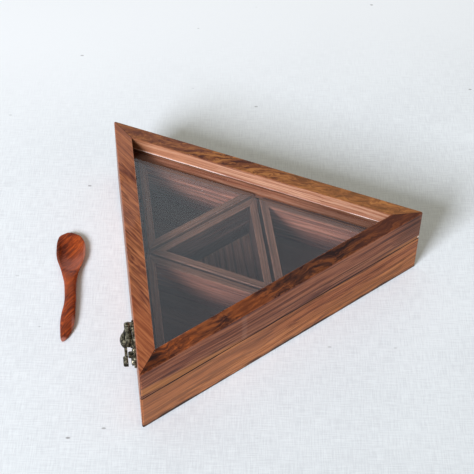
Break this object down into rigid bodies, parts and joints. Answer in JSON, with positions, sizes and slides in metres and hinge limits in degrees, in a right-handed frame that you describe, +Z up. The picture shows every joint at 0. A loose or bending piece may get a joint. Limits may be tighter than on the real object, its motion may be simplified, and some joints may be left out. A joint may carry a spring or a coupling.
{
  "type": "triangular spice box",
  "caption": "Triangular wooden spice box with a hinged glass-topped lid, lift-out triangular trays, an antique hasp and a small wooden spoon.",
  "frame": {"origin": "centre of the triangular underside, on the table", "axes": "+Z up, +Y towards the hinged back wall, -Y towards the corner beside the hasp, +X to the right seen from the front"},
  "size_m": [0.2349, 0.2006, 0.0525],
  "materials": {
    "box_wood": "satin oiled sheesham, strongly figured",
    "panel_wood": "plain sanded hardwood panel",
    "tray_wood": "fine sanded sheesham boards",
    "spoon_wood": "polished red-brown sheesham",
    "lid_glass": "clear float glass",
    "hinge_brass": "plain satin brass",
    "hasp_antique_brass": "antiqued, dark in the hollows and bright on the high spots"
  },
  "bodies": {
    "base": {"base_wall_back": "box_wood", "base_wall_left": "box_wood", "base_wall_right": "box_wood", "base_panel": "panel_wood", "hinge_left_base_leaf": "hinge_brass", "hinge_left_pin": "hinge_brass", "hinge_left_base_screw_1": "hinge_brass", "hinge_left_base_screw_2": "hinge_brass", "hinge_right_base_leaf": "hinge_brass", "hinge_right_pin": "hinge_brass", "hinge_right_base_screw_1": "hinge_brass", "hinge_right_base_screw_2": "hinge_brass", "hasp_base_plate": "hasp_antique_brass", "hasp_catch": "hasp_antique_brass", "hasp_base_nail_1": "hasp_antique_brass", "hasp_base_nail_2": "hasp_antique_brass", "hasp_base_nail_3": "hasp_antique_brass"},
    "lid": {"lid_rail_back": "box_wood", "lid_rail_left": "box_wood", "lid_rail_right": "box_wood", "glass_pane": "lid_glass", "hinge_left_lid_leaf": "hinge_brass", "hinge_left_lid_screw_1": "hinge_brass", "hinge_left_lid_screw_2": "hinge_brass", "hinge_right_lid_leaf": "hinge_brass", "hinge_right_lid_screw_1": "hinge_brass", "hinge_right_lid_screw_2": "hinge_brass", "hasp_lid_plate": "hasp_antique_brass", "hasp_pin": "hasp_antique_brass", "hasp_lid_nail_1": "hasp_antique_brass", "hasp_lid_nail_2": "hasp_antique_brass", "hasp_lid_nail_3": "hasp_antique_brass"},
    "hasp_tongue": {"hasp_tongue": "hasp_antique_brass"},
    "tray_left": {"tray_left_floor": "tray_wood", "tray_left_wall_back": "tray_wood", "tray_left_wall_left": "tray_wood", "tray_left_wall_right": "tray_wood"},
    "tray_right": {"tray_right_floor": "tray_wood", "tray_right_wall_back": "tray_wood", "tray_right_wall_left": "tray_wood", "tray_right_wall_right": "tray_wood"},
    "tray_front": {"tray_front_floor": "tray_wood", "tray_front_wall_back": "tray_wood", "tray_front_wall_left": "tray_wood", "tray_front_wall_right": "tray_wood"},
    "tray_centre": {"tray_centre_floor": "tray_wood", "tray_centre_wall_front": "tray_wood", "tray_centre_wall_left": "tray_wood", "tray_centre_wall_right": "tray_wood"},
    "spoon": {"spoon": "spoon_wood"}
  },
  "joints": [
    {"name": "lid_hinge", "type": "hinge", "parent": "base", "child": "lid", "pos_m": [0, 0.06812, 0.029], "axis": [-1, 0, 0], "range_deg": [0, 180]},
    {"name": "hasp_swing", "type": "hinge", "parent": "lid", "child": "hasp_tongue", "pos_m": [-0.02529, -0.09543, 0.0385], "axis": [-0.5, 0.866, 0], "range_deg": [-3, 120]},
    {"name": "tray_left_lift", "type": "slide", "parent": "base", "child": "tray_left", "axis": [0, 0, 1], "range_m": [0, 0.0045]},
    {"name": "tray_right_lift", "type": "slide", "parent": "base", "child": "tray_right", "axis": [0, 0, 1], "range_m": [0, 0.0045]},
    {"name": "tray_front_lift", "type": "slide", "parent": "base", "child": "tray_front", "axis": [0, 0, 1], "range_m": [0, 0.0045]},
    {"name": "tray_centre_lift", "type": "slide", "parent": "base", "child": "tray_centre", "axis": [0, 0, 1], "range_m": [0, 0.0045]},
    {"name": "spoon_lift", "type": "slide", "parent": "base", "child": "spoon", "axis": [0, 0, 1], "range_m": [0, 0.06]}
  ]
}
